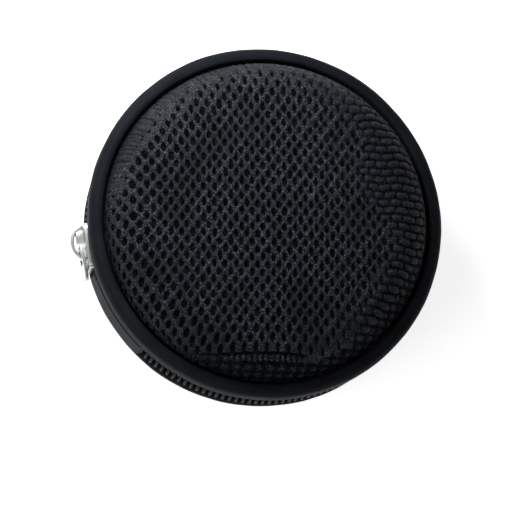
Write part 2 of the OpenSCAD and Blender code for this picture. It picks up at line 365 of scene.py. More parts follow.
COIL_NYLON = coil_finish()
ZIP_TAPE = woven_finish("zip tape", (0.008, 0.0085, 0.010), (0.022, 0.023, 0.027), 0.5)
BINDING = woven_finish("binding tape", (0.007, 0.007, 0.008), (0.020, 0.020, 0.023), 0.7)
ELASTIC = woven_finish("elastic", (0.006, 0.006, 0.007), (0.018, 0.018, 0.020), 0.9)
THREAD = woven_finish("sewing thread", (0.020, 0.021, 0.024), (0.060, 0.062, 0.070), 0.3, 0.5)
NET = woven_finish("pocket net", (0.009, 0.009, 0.011), (0.024, 0.025, 0.028), 0.3, 0.55)

# %% [markdown]
# Inside, the foam is hidden under a brushed knit lining. Both are matt, and differ in their grain.


# %% Lining and foam finishes
def lining_finish():
    finish = Finish("lining")
    along, up = finish.parts_of(finish.cloth_place())
    rows = finish.wave(along * (2 * math.pi / 1.0) + finish.wave(up * (2 * math.pi / 1.3)) * 1.8)
    fine = finish.noise(finish.object_place(), 1800.0, 4.0)
    colour = finish.blend_colours(finish.step(rows * 0.6 + fine * 0.4, 0.2, 0.8),
                                  (0.010, 0.0105, 0.013), (0.042, 0.043, 0.049))
    return finish.surface(
        Base_Color=colour,
        Roughness=fine * 0.1 + 0.78,
        Normal=finish.bump(rows + fine, 0.00010, 0.8),
        Sheen_Weight=0.25,
        Sheen_Roughness=0.5,
    )


def foam_finish():
    finish = Finish("moulded foam")
    place = finish.object_place()
    cells = finish.node("ShaderNodeTexVoronoi", {}, {"Vector": place, "Scale": 2600.0})
    colour = finish.blend_colours(cells, (0.020, 0.020, 0.022), (0.045, 0.045, 0.048))
    return finish.surface(
        Base_Color=colour,
        Roughness=cells * 0.1 + 0.82,
        Normal=finish.bump(cells, 0.00005, 0.7),
    )


LINING = lining_finish()
FOAM = foam_finish()

# %% [markdown]
# The slider and its pull are cast, tumbled and plated. The plating is bright,
# with faint ripples of the cast metal and light rubbing marks.


# %% Plated metal
def plated_finish():
    finish = Finish("plated metal")
    place = finish.object_place()
    ripple = finish.noise(place, 420.0, 2.0)
    rub = finish.noise(place, 2400.0, 3.0)
    colour = finish.blend_colours(ripple, (0.60, 0.61, 0.61), (0.70, 0.71, 0.705))
    return finish.surface(
        Base_Color=colour,
        Metallic=0.85,
        Roughness=rub * 0.14 + 0.28,
        Normal=finish.bump(ripple + rub * 0.15, 0.00004, 0.25),
    )


PLATED = plated_finish()

# %% [markdown]
# Most of the case is turned: a section is drawn once and spun round the middle axis.
# The section starts as a flat circle whose corners are moved to the drawing, and the spin then
# sweeps it.
# A closed ring is merged where it meets itself, and its faces are then turned outwards.


# %% Turned pieces
MERGE = 0.000002


def select_only(*pieces):
    """Selects these pieces and no others. The first of them is the active one."""
    bpy.ops.object.select_all(action="DESELECT")
    for piece in pieces:
        piece.select_set(True)
    bpy.context.view_layer.objects.active = pieces[0]


def start_editing(piece):
    select_only(piece)
    bpy.ops.object.mode_set(mode="EDIT")
    bpy.ops.mesh.select_mode(type="VERT")
    bpy.ops.mesh.select_all(action="SELECT")


def stop_editing():
    bpy.ops.mesh.select_all(action="SELECT")
    bpy.ops.mesh.normals_make_consistent(inside=False)
    bpy.ops.object.mode_set(mode="OBJECT")


def spun(name, section, steps, start=0.0, sweep=360.0):
    """Spins a closed section of (radius, height) corners, in millimetres, about the case's axis."""
    whole = sweep == 360.0
    bpy.ops.mesh.primitive_circle_add(vertices=len(section), radius=MM, location=(0, 0, 0),
                                      fill_type="NOTHING" if whole else "NGON")
    piece = bpy.context.object
    piece.name = name
    direction = Vector((math.cos(math.radians(start)), math.sin(math.radians(start)), 0.0))
    for vertex, (radius, height) in zip(piece.data.vertices, section):
        vertex.co = direction * radius * MM + Vector((0.0, 0.0, height * MM))
    start_editing(piece)
    bpy.ops.mesh.spin(steps=steps, angle=math.radians(sweep), center=(0, 0, 0), axis=(0, 0, 1))
    bpy.ops.mesh.select_all(action="SELECT")
    bpy.ops.mesh.remove_doubles(threshold=MERGE)
    bpy.ops.mesh.dissolve_degenerate(threshold=MERGE / 2)
    bpy.ops.mesh.delete_loose()
    stop_editing()
    return piece


def corner(middle, radius, start, end, steps):
    """Points on a round corner, with the angles in degrees."""
    angles = np.radians(np.linspace(start, end, steps + 1))
    return [(middle[0] + radius * math.cos(a), middle[1] + radius * math.sin(a)) for a in angles]


def turned_over(section, side):
    """Gives a section drawn above the zip its heights on one side of the case."""
    return [(radius, side(height)) for radius, height in section]


# %% [markdown]
# Fabric patterns need cloth coordinates that run along the strip and across it.
# On a turned piece they are the way round the ring and the way over its section.


# %% Cloth coordinates
def points_of(piece):
    places = np.empty(len(piece.data.vertices) * 3)
    piece.data.vertices.foreach_get("co", places)
    return places.reshape(-1, 3)


def set_points(piece, places):
    piece.data.vertices.foreach_set("co", np.asarray(places, dtype=np.float64).ravel())
    piece.data.update()


def round_places(radius, angle, height):
    """Places in metres, from radii and heights in millimetres."""
    return np.stack([radius * np.cos(angle), radius * np.sin(angle), height], axis=1) * MM


def face_corners(mesh):
    """The point at each corner of each face."""
    corners = np.empty(len(mesh.loops), dtype=np.int64)
    mesh.loops.foreach_get("vertex_index", corners)
    return corners


def write_cloth_map(mesh, along, across):
    """Writes cloth coordinates, in millimetres, for each corner of each face."""
    while mesh.uv_layers:
        mesh.uv_layers.remove(mesh.uv_layers[0])
    layer = mesh.uv_layers.new(name="cloth")
    layer.data.foreach_set("uv", np.stack([along, across], axis=1).ravel())


def cloth_map(piece, along, across):
    """Gives the piece the cloth coordinates of its points."""
    corners = face_corners(piece.data)
    write_cloth_map(piece.data, along[corners], across[corners])


def ring_cloth_map(piece):
    """Cloth coordinates round a ring, whole across the place where the angle starts again."""
    mesh = piece.data
    places = points_of(piece) / MM
    angles = np.arctan2(places[:, 1], places[:, 0])
    radii = np.hypot(places[:, 0], places[:, 1])
    corners = face_corners(mesh)
    starts = np.array([face.loop_start for face in mesh.polygons])
    counts = np.array([face.loop_total for face in mesh.polygons])
    first = np.repeat(angles[corners[starts]], counts)
    turn = (angles[corners] - first + math.pi) % (2 * math.pi) - math.pi
    write_cloth_map(mesh, (first + turn) * float(radii.mean()), (radii - places[:, 2])[corners])


# %% [markdown]
# A finished piece gets its material in its slot, hides the CAD solid that it stands for, and is
# hung on the body that carries it. Its edges are shaded smooth below an angle, as a fold or a
# moulded corner is.


# %% Finishing a piece
def dress(piece, material, body, replaces, smooth=40.0):
    select_only(piece)
    bpy.ops.object.shade_smooth_by_angle(angle=math.radians(smooth))
    piece.data.materials.clear()
    piece.data.materials.append(material)
    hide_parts(*replaces)
    if body:
        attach(piece, body)
    print(piece.name, len(piece.data.polygons), "faces")
    return piece


# %% [markdown]
# The dome's outline is a shallow crown, a round shoulder and a short upright side.
# It is given by the distance along the cloth from the middle of the dome,
# because cloth is laid over a mould by length and not by radius.
# The base is flat, because the case rests on it, and its crown radius is written as 0.


# %% Outline of a dome
def dome_outline(length, inset, crown_r):
    """Radius, height above the zip and outward direction at each distance along the dome."""
    shoulder = SHOULDER_R - inset
    turn_r = DOME_R - SHOULDER_R
    if crown_r:
        lean = math.asin(turn_r / (crown_r - SHOULDER_R))
        turn_z = ZIP_Z - crown_r + (crown_r - SHOULDER_R) * math.cos(lean)
        crown_length = (crown_r - inset) * lean
    else:
        lean = 0.0
        turn_z = ZIP_Z - SHOULDER_R
        crown_length = turn_r
    shoulder_length = shoulder * (math.pi / 2 - lean)
    on_crown = length < crown_length
    on_side = length > crown_length + shoulder_length
    angle = np.clip(lean + (length - crown_length) / shoulder, lean, math.pi / 2)
    radius = turn_r + shoulder * np.sin(angle)
    height = turn_z + shoulder * np.cos(angle)
    height = height - np.where(on_side, length - crown_length - shoulder_length, 0.0)
    if crown_r:
        tilt = length / (crown_r - inset)
        radius = np.where(on_crown, (crown_r - inset) * np.sin(tilt), radius)
        height = np.where(on_crown, ZIP_Z - crown_r + (crown_r - inset) * np.cos(tilt), height)
        angle = np.where(on_crown, tilt, angle)
    else:
        radius = np.where(on_crown, length, radius)
        height = np.where(on_crown, ZIP_Z - inset, height)
    return radius, height, angle


def cloth_length(inset, crown_r):
    """Distance along the dome from its middle to the edge beside the zip, to 0.01 mm."""
    lengths = np.linspace(30.0, 60.0, 3001)
    heights = dome_outline(lengths, inset, crown_r)[1]
    return float(lengths[np.argmin(np.abs(heights - RIM_Z))])


CROWNS = {"lid": LID_CROWN_R, "base": 0.0}
print("cloth from middle to edge in mm:", {n: cloth_length(0.0, c) for n, c in CROWNS.items()})

# %% [markdown]
# The cover is modelled as one cloth: a fine square grid is pulled round to a disc of even cells,
# laid over the dome, and its holes are pressed in along the dome's own direction.
# A strip along the edge is then folded in under the dome, which gives the cloth its thickness.


# %% Patterns on a cloth
HOLE_ACROSS = 1.2
HOLE_UP = 1.72


def disc_from_square(across, up):
    """Pulls a square round to a disc without changing the area of its cells."""
    reach = np.maximum(np.abs(across), np.abs(up))
    sideways = np.abs(across) >= np.abs(up)
    longer = np.where(sideways, across, up)
    shorter = np.where(sideways, up, across)
    turn = (math.pi / 4) * shorter / np.where(longer == 0.0, 1.0, longer)
    angle = np.where(sideways, turn, math.pi / 2 - turn) + np.where(longer < 0.0, math.pi, 0.0)
    return reach, angle


def smooth_step(value, low, high):
    share = np.clip((value - low) / (high - low), 0.0, 1.0)
    return share * share * (3.0 - 2.0 * share)


def bump(phase, power):
    """1 at every whole phase and 0 between two of them. A power below 1 widens the bump."""
    return np.abs(np.cos(math.pi * phase)) ** power


def loose(first, second, seed):
    """A number between -1 and 1 for each stitch of the knit, as no two lie quite alike."""
    return np.modf(np.sin(first * 12.99 + second * 78.23 + seed) * 437.58)[0]


def facing(heading, towards, low, high):
    """1 on the side of the dome that faces a direction in degrees, and 0 well away from it."""
    return smooth_step(np.cos(heading - math.radians(towards)), low, high)


# %% [markdown]
# No two holes lie quite alike: each is moved and stretched a little.
# Over the shoulder the moulding stretches the knit away from the middle, and the holes close.
# Towards one end of the rows the knit is denser, and its knots swell to long beads, laid like
# bricks. On the lower side it closes up to rows of small dots.
# Each of these is a number for every point of the cloth, and the numbers are then mixed.


# %% Relief of the knit
# Distances from the middle of the dome, in millimetres, over which the knit changes.
DENSER = (1.0, 19.0)
CLOSING = (26.0, 37.0)
DOTTED = (29.5, 30.2)
FIRST_BEAD = 20.5


def holes(column, row, denser, closing):
    """Relief of the open knit, and how far each hole is moved."""
    first, second = (column + row) / 2.0, (column - row) / 2.0
    shift, stretch = (loose(np.round(first), np.round(second), seed) for seed in (1.0, 2.0))
    first, second = first - np.round(first), second - np.round(second)
    beside = HOLE_ACROSS * (first + second) + (0.10 + 0.10 * denser) * shift
    above = (HOLE_UP * (first - second) + (0.12 + 0.22 * denser) * stretch) * (1.0 + 0.12 * shift)
    wide, tall = (0.52 - 0.18 * closing) * (1.0 + 0.1 * stretch), 0.98 - 0.40 * closing
    from_hole = (np.abs(beside / wide) ** 1.7 + np.abs(above / tall) ** 1.7) ** (1 / 1.7)
    knit = smooth_step(from_hole, 0.55, 1.5) * (1.0 - 0.3 * closing) + 0.3 * closing
    return knit * (1.0 - 0.50 * denser) + 0.25 * denser, shift


def swollen_knots(column, row):
    """Relief of long beads laid like bricks, in rows that wander a little."""
    stagger = 0.5 * np.mod(np.round(row), 2.0)
    place = column / 2.0 + stagger + 0.5 + 0.10 * np.sin(0.7 * row)
    wavy_row = row + 0.09 * np.sin(1.3 * column)
    beads = 0.34 + 0.60 * bump(wavy_row, 1.7) * bump(place, 0.8)
    uneven = 0.16 * loose(np.round(place), np.round(wavy_row), 3.0)
    return np.minimum(beads * (1.0 + uneven * bump(wavy_row, 0.8) * bump(place, 0.8)), 1.0)


def knit_relief(across, up, length, heading, still_open):
    """Height of the knit, from 0 in a hole to 1 on a strand, and how far its knots have swollen."""
    column, row = across / HOLE_ACROSS, up / HOLE_UP
    denser = smooth_step(length * np.cos(heading - 0.2), *DENSER)
    closing = smooth_step(length - 8.0 * still_open, *CLOSING)
    knit, shift = holes(column, row, denser, closing)
    first_bead = FIRST_BEAD + 6.0 * smooth_step(1.0 - np.cos(heading - 0.30), 0.0, 0.10)
    beaded = (smooth_step(length - first_bead + 1.2 * shift, -1.5, 4.0)
              * facing(heading, 0.0, 0.25, 0.75))
    knit = knit * (1.0 - beaded) + swollen_knots(column, row) * beaded
    dots = 0.22 + 0.78 * bump(column, 1.3) * bump(row, 1.6)
    dotted = smooth_step(-up, *DOTTED) * (1.0 - smooth_step(np.abs(across + 2.5), 8.0, 13.5))
    return knit * (1.0 - dotted) + dots * dotted, beaded


# %% [markdown]
# Next to the rim the cloth is stretched smooth. At one shoulder it is drawn into soft streaks that
# run down to the rim, and at another, beyond the dots, it lies deeper, in low lumps. These lumps
# are given a low relief, so the finish paints them as dark as the gaps: painted shade on the side
# away from the key lamp.


# %% Relief near the rim
SMOOTH = (36.5, 39.5)
STREAKED = (32.5, 35.0)
STREAKED_SIDE = 130.0
# Beyond the dots, on the side away from the key lamp, the cloth lies deeper and is painted dark as
# shade.
SUNK = (33.0, 35.6)
SHADED_SIDE = 290.0


def shoulder_relief(relief, across, up, length, angle, heading, still_open):
    smooth = smooth_step(length - 4.0 * still_open, *SMOOTH)
    relief = relief * (1.0 - smooth) + 0.72 * smooth
    valleys = 1.0 - bump(angle * 28.5 + 0.4 * np.sin(angle * 23.0), 1.3)
    streaks = 0.96 - valleys * (0.50 + 0.08 * np.sin(angle * 57.0))
    streaked = facing(heading, STREAKED_SIDE, 0.5, 0.9) * smooth_step(length, *STREAKED)
    relief = relief * (1.0 - streaked) + streaks * streaked
    # Painted shade: the low relief of these lumps makes the finish colour them as dark as the gaps.
    lumps = 0.31 + 0.24 * bump(across / HOLE_ACROSS / 2.0, 1.0) * bump(up / HOLE_UP, 1.0)
    sunk_and_shaded = facing(heading, SHADED_SIDE, 0.4, 0.82) * smooth_step(length, *SUNK)
    return relief * (1.0 - sunk_and_shaded) + lumps * sunk_and_shaded


# %% [markdown]
# The cover is laid in one go: the relief moves each point of the grid along the dome's own
# direction, and its edge is then extruded in rings under the dome and closed at the middle.


# %% Air mesh covers
CELLS = {"lid": 292, "base": 220}
HOLE_DEPTH = 0.5
BEAD_DEPTH = 0.55
FLAT_EDGE = (38.5, 41.5)
COVER_T = 0.9
FOLD_RINGS = 9
FOLD_END_R = 4.0
PATTERN_TURN = math.radians(-122.0)
OPEN_SIDE = 205.0
# Distances on the dome, and where the stitches there lay before the knit was stretched.
ON_DOME = [0.0, 25.0, 30.0, 50.0]
ON_KNIT = [0.0, 25.0, 29.2, 42.0]


def fold_under(piece, side, crown_r):
    """Extrudes the open edge of the cloth to an inner wall, ring by ring."""
    start_editing(piece)
    bpy.ops.mesh.select_all(action="DESELECT")
    bpy.ops.mesh.select_non_manifold()
    inner_edge = cloth_length(COVER_T, crown_r)
    rings = dome_outline(np.linspace(inner_edge, FOLD_END_R, FOLD_RINGS), COVER_T, crown_r)
    radius_now, height_now = DOME_R, RIM_Z
    for ring_r, ring_z in zip(rings[0].tolist(), rings[1].tolist()):
        share = ring_r / radius_now
        bpy.ops.mesh.extrude_region_move()
        bpy.ops.transform.resize(value=(share, share, 1.0), center_override=(0, 0, 0))
        bpy.ops.transform.translate(value=(0, 0, (side(ring_z) - side(height_now)) * MM))
        radius_now, height_now = ring_r, ring_z
    bpy.ops.mesh.edge_face_add()
    stop_editing()


def air_mesh_cover(side_name):
    side, crown_r, cells = SIDES[side_name], CROWNS[side_name], CELLS[side_name]
    bpy.ops.mesh.primitive_grid_add(x_subdivisions=cells, y_subdivisions=cells, size=2.0)
    piece = bpy.context.object
    piece.name = side_name + "_air_mesh"
    grid = points_of(piece)
    reach, angle = disc_from_square(grid[:, 0], grid[:, 1])
    edge = cloth_length(0.0, crown_r)
    length = reach * edge

    knit_length = np.interp(length, ON_DOME, ON_KNIT)
    heading = angle - PATTERN_TURN
    across, up = knit_length * np.cos(heading), knit_length * np.sin(heading)
    still_open = facing(heading, OPEN_SIDE, 0.45, 0.85)
    relief, swollen = knit_relief(across, up, length, heading, still_open)
    relief = shoulder_relief(relief, across, up, length, angle, heading, still_open)
    depth = HOLE_DEPTH + (BEAD_DEPTH - HOLE_DEPTH) * swollen
    depth = depth * (1.0 - smooth_step(length, *FLAT_EDGE))
    lift = (relief - 1.0) * depth

    radius, height, lean = dome_outline(length, 0.0, crown_r)
    radius = radius + lift * np.sin(lean)
    height = height + lift * np.cos(lean)
    set_points(piece, round_places(radius, angle, side(height)))
    cloth_map(piece, across, up)
    for name, values in (("relief", relief), ("swollen", swollen)):
        piece.data.attributes.new(name, "FLOAT", "POINT").data.foreach_set("value", values)

    fold_under(piece, side, crown_r)
    dress(piece, AIR_MESH, side_name, [side_name + "_cover"], smooth=80.0)


# %% [markdown]
# Under the cloth is the moulded foam shell, and inside it the lining.
# Both are turned from the same outline, set in by the layers outside them.


# %% Foam shells and linings
FOAM_LAYER = (0.95, 3.95)
LINING_LAYER = (4.0, 4.7)


def layer_section(outer_inset, inner_inset, crown_r, steps):
    """A closed section: out along the outer side of a layer and back along its inner side."""
    outer_edge, inner_edge = cloth_length(outer_inset, crown_r), cloth_length(inner_inset, crown_r)
    outer = dome_outline(np.linspace(0.0, outer_edge, steps), outer_inset, crown_r)
    inner = dome_outline(np.linspace(inner_edge, 0.0, steps), inner_inset, crown_r)
    return [(float(r), float(z)) for r, z in (*zip(*outer[:2]), *zip(*inner[:2]))]


def foam_shell(side_name):
    section = turned_over(layer_section(*FOAM_LAYER, CROWNS[side_name], 22), SIDES[side_name])
    piece = spun(side_name + "_foam", section, 96)
    ring_cloth_map(piece)
    dress(piece, FOAM, side_name, [side_name + "_shell"])


def lining(side_name):
    crown_r = CROWNS[side_name]
    section = turned_over(layer_section(*LINING_LAYER, crown_r, 40), SIDES[side_name])
    piece = spun(side_name + "_lining_cloth", section, 128)
    places = points_of(piece) / MM
    cloth_map(piece, places[:, 0], places[:, 1])
    dress(piece, LINING, side_name, [side_name + "_lining"])


for side_name in SIDES:
    foam_shell(side_name)
    lining(side_name)
for side_name in SIDES:
    air_mesh_cover(side_name)

# %% [markdown]
# Each rim is a strip of satin fabric rolled over the edge of the shell and the tape.
# Behind its ridge it dips to the dome, which leaves a dark groove all round.
# Its section is turned, and then pulled in and out by a fraction of a millimetre,
# as a sewn strip never lies quite even.


# %% Rims
LIP_R = 1.0
# Width, height and end angle of each rim's rounded ridge.
RIDGES = {"lid": (2.0, 2.0, 118.0), "base": (3.0, 4.0, 80.0)}
# How many waves of the sewing run round a rim, and their height.
SEWING_WAVES = ((3, 0.03), (7, 0.03), (13, 0.025), (29, 0.015), (61, 0.008))
DRAWN_IN = 0.05


def rim_section(rim_r, ridge_w, ridge_h, ridge_end):
    lip = corner((rim_r - LIP_R, BAND_Z + LIP_R), LIP_R, -90.0, 0.0, 6)
    ridge = [(rim_r + ridge_w * (r - 1.0), BAND_Z + BAND_H + ridge_h * (h - 1.0))
             for r, h in corner((0.0, 0.0), 1.0, 0.0, ridge_end, 14)]
    groove = [(COIL_IN_R - 0.1, 8.1), (DOME_R + 0.2, 7.55), (DOME_R + 0.12, 7.4),
              (COIL_IN_R, 7.35)]
    return lip + ridge + groove + [(COIL_IN_R, BAND_Z + 0.4), (COIL_IN_R + 0.4, BAND_Z)]


def unevenness(angles, seed):
    """Small lasting waves of hand-guided sewing, in millimetres."""
    rng = np.random.default_rng(seed)
    wave = np.zeros_like(angles)
    for count, size in SEWING_WAVES:
        wave += size * np.sin(count * angles + rng.uniform(0, 2 * math.pi))
    return wave


def rim(side_name, seed):
    section = turned_over(rim_section(RIM_R[side_name], *RIDGES[side_name]), SIDES[side_name])
    piece = spun(side_name + "_rim", section, 360)
    places = points_of(piece)
    angles = np.arctan2(places[:, 1], places[:, 0])
    radii = np.hypot(places[:, 0], places[:, 1])
    outside = smooth_step(radii / MM, 37.8, 39.2)
    radii = radii + (unevenness(angles, seed) - DRAWN_IN) * outside * MM
    places[:, 0], places[:, 1] = radii * np.cos(angles), radii * np.sin(angles)
    set_points(piece, places)
    ring_cloth_map(piece)
    dress(piece, RIM_FABRIC, side_name, [side_name + "_band"], smooth=60.0)


rim("lid", 11)
rim("base", 12)

# %% [markdown]
# The binding is a flat tape folded over the mouth of each shell. Running stitches hold it inside.
# The folded tape has one section all round, so it is turned. Each stitch is a short bar of thread.


# %% Bindings and stitches
STITCHES = 57
STITCH_R = 0.19
STITCH_LENGTH = 2.0


def binding(side_name):
    section = [
        (MOUTH_R, RIM_Z - 0.35), (MOUTH_R + 0.25, RIM_Z - 0.55), (DOME_R - 0.2, RIM_Z - 0.55),
        (DOME_R, RIM_Z - 0.35), (DOME_R - 0.05, RIM_Z - 0.05), (MOUTH_R + 0.55, RIM_Z - 0.05),
        (MOUTH_R + 0.5, RIM_Z + 0.1), (MOUTH_R + 0.5, RIM_Z + 3.2),
        (MOUTH_R + 0.35, RIM_Z + 3.35), (MOUTH_R + 0.1, RIM_Z + 3.35), (MOUTH_R, RIM_Z + 3.2),
    ]
    piece = spun(side_name + "_mouth_binding", turned_over(section, SIDES[side_name]), 192)
    ring_cloth_map(piece)
    dress(piece, BINDING, side_name, [side_name + "_binding"], smooth=50.0)


def stitches(side_name):
    """One stitch is modelled and copied round the mouth."""
    bpy.ops.mesh.primitive_cylinder_add(
        vertices=6, radius=STITCH_R * MM, depth=STITCH_LENGTH * MM, rotation=(math.pi / 2, 0, 0),
        location=((MOUTH_R - 0.24) * MM, 0, SIDES[side_name](RIM_Z + 2.1) * MM))
    pattern = bpy.context.object
    bpy.ops.object.transform_apply(location=True, rotation=True, scale=True)
    start_editing(pattern)
    bpy.ops.mesh.bevel(offset=0.08 * MM, segments=1)
    stop_editing()
    copies = []
    for number in range(STITCHES):
        angle = 2 * math.pi * (number + 0.5) / STITCHES
        copy = bpy.data.objects.new("stitch", pattern.data.copy())
        bpy.context.scene.collection.objects.link(copy)
        copy.data.transform(Matrix.Rotation(angle, 4, "Z"))
        copies.append(copy)
    bpy.data.objects.remove(pattern)
    select_only(*copies)
    bpy.ops.object.join()
    piece = bpy.context.object
    piece.name = side_name + "_binding_stitches"
    ring_cloth_map(piece)
    dress(piece, THREAD, side_name, [side_name + "_stitches"], smooth=60.0)


for side_name in SIDES:
    binding(side_name)
    stitches(side_name)

# %% [markdown]
# Each zip tape is a thin woven strip that runs from one side of the hinge round to the other.
# It is turned through that part of a circle only, and its two ends are closed.


# %% Zip tapes
LEVELS = {"lid": "upper", "base": "lower"}


def zip_tape(side_name):
    section = [(TAPE_IN_R, 0.95), (TAPE_IN_R + 0.12, 0.85), (TAPE_OUT_R - 0.12, 0.85),
               (TAPE_OUT_R, 0.95), (TAPE_OUT_R, 7.2), (TAPE_OUT_R - 0.1, 7.3),
               (TAPE_IN_R + 0.1, 7.3), (TAPE_IN_R, 7.2)]
    if side_name == "base":
        section.reverse()
    level = LEVELS[side_name]
    section = turned_over(section, SIDES[side_name])
    piece = spun(level + "_zip_tape", section, 220, ZIP_START, ZIP_SWEEP)
    ring_cloth_map(piece)
    dress(piece, ZIP_TAPE, side_name, [level + "_tape"], smooth=50.0)


for side_name in SIDES:
    zip_tape(side_name)

# %% [markdown]
# A coil zip's teeth are one nylon thread wound into flat loops. The outer run of each loop is the
# rib that shows, and its head reaches between the heads of the other coil.
# The thread is a curve with a round section that is then made a mesh. The lower coil leans out.
# Beyond the slider the loops stop short of the middle, because that stretch is still open.


# %% Zip coils
WIRE_R = 0.34
COIL_REACH = 3.7
COIL_LEAN = {"lid": 0.0, "base": 0.75}
CLOSED_HEAD = -0.5
OPEN_HEAD = 0.9
LOOP_STEPS = 12


def squared(value, power):
    """Bends a sine or cosine towards a square wave, the more so the lower the power."""
    return math.copysign(abs(value) ** power, value)


def coil_path(side_name, stagger):
    side, lean = SIDES[side_name], COIL_LEAN[side_name]
    step = ZIP_SWEEP / TURNS
    middle_r = (COIL_IN_R + COIL_OUT_R) / 2
    half_r = (COIL_OUT_R - COIL_IN_R) / 2 - WIRE_R
    path = []
    for turn_number in range(TURNS):
        angle_now = ZIP_START + (turn_number + stagger) * step
        if angle_now + step > ZIP_START + ZIP_SWEEP:
            break
        head = CLOSED_HEAD if angle_now < SLIDER_ANGLE + 360.0 else OPEN_HEAD
        low, high = head + WIRE_R, COIL_REACH - WIRE_R
        for number in range(LOOP_STEPS):
            share = number / LOOP_STEPS
            phase = 2 * math.pi * share
            height = (low + high) / 2 + (high - low) / 2 * squared(math.cos(phase), 0.55)
            radius = middle_r + half_r * squared(math.sin(phase), 0.7) + lean * height / COIL_REACH
            along = float(smooth_step(share, 0.5, 1.0)) * step
            angle = math.radians(angle_now + along)
            path.append((radius * math.cos(angle), radius * math.sin(angle), side(height)))
    return path


def coil(side_name, stagger):
    level = LEVELS[side_name]
    path = coil_path(side_name, stagger)
    bpy.ops.curve.primitive_nurbs_path_add()
    thread = bpy.context.object
    thread.name = level + "_zip_coil"
    thread.data.splines.clear()
    spline = thread.data.splines.new("POLY")
    spline.points.add(len(path) - 1)
    for point, place in zip(spline.points, path):
        point.co = (*(Vector(place) * MM), 1.0)
    thread.data.bevel_depth = WIRE_R * MM
    thread.data.bevel_resolution = 1
    thread.data.use_fill_caps = True
    bpy.ops.object.convert(target="MESH")
    piece = bpy.context.object
    start_editing(piece)
    stop_editing()
    dress(piece, COIL_NYLON, side_name, [level + "_coil"], smooth=60.0)


coil("lid", 0.25)
coil("base", 0.75)

# %% [markdown]
# The hinge is a piece of the rim fabric sewn under both rims, with a softer lining inside it.
# Each is a small grid laid along the wall and given its thickness. It has many rows, as the real
# strip bends between the two halves when the lid opens.


# %% Hinge fabrics
HINGE_R = 38.0
CLOTH_HALF = HINGE_HALF + 1.0
BEND_H = 4.2
RIM_EDGE_H = 4.35
CLOTH_END_H = 7.3
SEWN_R = TAPE_IN_R + 0.5
PUFF_R = 39.3


def hinge_cloth(name, node, profile, thickness, material):
    """Lays a grid along (radius, height above the zip) points, round the back of the case."""
    across_cells, up_cells = 48, len(profile) - 1
    bpy.ops.mesh.primitive_grid_add(x_subdivisions=across_cells, y_subdivisions=up_cells, size=2.0)
    piece = bpy.context.object
    piece.name = name
    grid = points_of(piece)
    angle = np.radians(HINGE_MIDDLE - grid[:, 0] * CLOTH_HALF)
    place = (grid[:, 1] + 1.0) / 2.0 * up_cells
    spots = np.arange(len(profile))
    radius = np.interp(place, spots, [p[0] for p in profile])
    rolled = smooth_step(np.abs(grid[:, 0]), 0.90, 1.0)
    radius = radius + (profile[0][0] - radius) * 0.3 * rolled
    height = np.interp(place, spots, [p[1] for p in profile])
    set_points(piece, round_places(radius, angle, lid_side(height)))
    cloth_map(piece, angle * HINGE_R, height)
    select_only(piece)
    thick = piece.modifiers.new("thickness", "SOLIDIFY")
    thick.thickness = thickness * MM
    thick.offset = -1.0
    bpy.ops.object.modifier_apply(modifier=thick.name)
    start_editing(piece)
    stop_editing()
    dress(piece, material, None, [node], smooth=60.0)
    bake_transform(piece)
    return piece


def hinge_profile():
    """From under the base's rim, out to the puff between the rims, and in under the lid's rim."""
    heights = np.concatenate([
        np.linspace(-CLOTH_END_H, -RIM_EDGE_H, 5),
        np.linspace(-BEND_H, BEND_H, 25),
        np.linspace(RIM_EDGE_H, CLOTH_END_H, 5),
    ])
    puff = 1.0 - smooth_step(np.abs(heights), 3.2, RIM_EDGE_H)
    return list(zip(SEWN_R + puff * (PUFF_R - SEWN_R), heights))


outer_hinge = hinge_cloth("outer_hinge_cloth", "hinge_strip", hinge_profile(), 0.5,
                          RIM_FABRIC)
inner_profile = [(TAPE_IN_R - 0.4, height) for height in np.linspace(-4.15, 4.15, 25)]
inner_hinge = hinge_cloth("inner_hinge_cloth", "hinge_lining", inner_profile, 0.45,
                          LINING)

# %% [markdown]
# The slider is two plates joined by a neck, with a bridge that holds the pull.
# The CAD solids have the right shape with sharp edges, so a copy of each is merged and cleaned,
# and its edges are rounded as casting and tumbling leave them.


# %% Slider and pull
SHARP = 35.0


def rounded_copy(name, node, edge, body):
    piece = bpy.data.objects.new(name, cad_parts[node].data.copy())
    bpy.context.scene.collection.objects.link(piece)
    start_editing(piece)
    bpy.ops.mesh.remove_doubles(threshold=MERGE)
    bpy.ops.mesh.dissolve_limited(angle_limit=math.radians(1.0))
    stop_editing()
    rounding = piece.modifiers.new("rounding", "BEVEL")
    rounding.width = edge * MM
    rounding.segments = 2
    rounding.limit_method = "ANGLE"
    rounding.angle_limit = math.radians(SHARP)
    bpy.ops.object.modifier_apply(modifier=rounding.name)
    dress(piece, PLATED, body, [node], smooth=SHARP)


rounded_copy("zip_slider", "slider_body", 0.18, "slider")
rounded_copy("slider_loop", "slider_bridge", 0.16, "slider")
rounded_copy("slider_pull", "pull_tab", 0.14, "pull")

# %% [markdown]
# The lid holds a net pocket. Its net is a diagonal grid trimmed to the half round, turned to
# threads and finished with a tape along the wall. A gathered elastic hem closes its open edge.


# %% Net pocket
POCKET_R = 30.5
NET_Z = 6.65
NET_CELL = 1.5
NET_CELLS = 60
NET_THREAD = 0.26
EDGE_TAPE_W = 1.3
HEM_LENGTH, HEM_WIDTH, HEM_HEIGHT = 60.6, 2.3, 0.95
HEM_CUTS = 96
CUT_LENGTH = 59.8


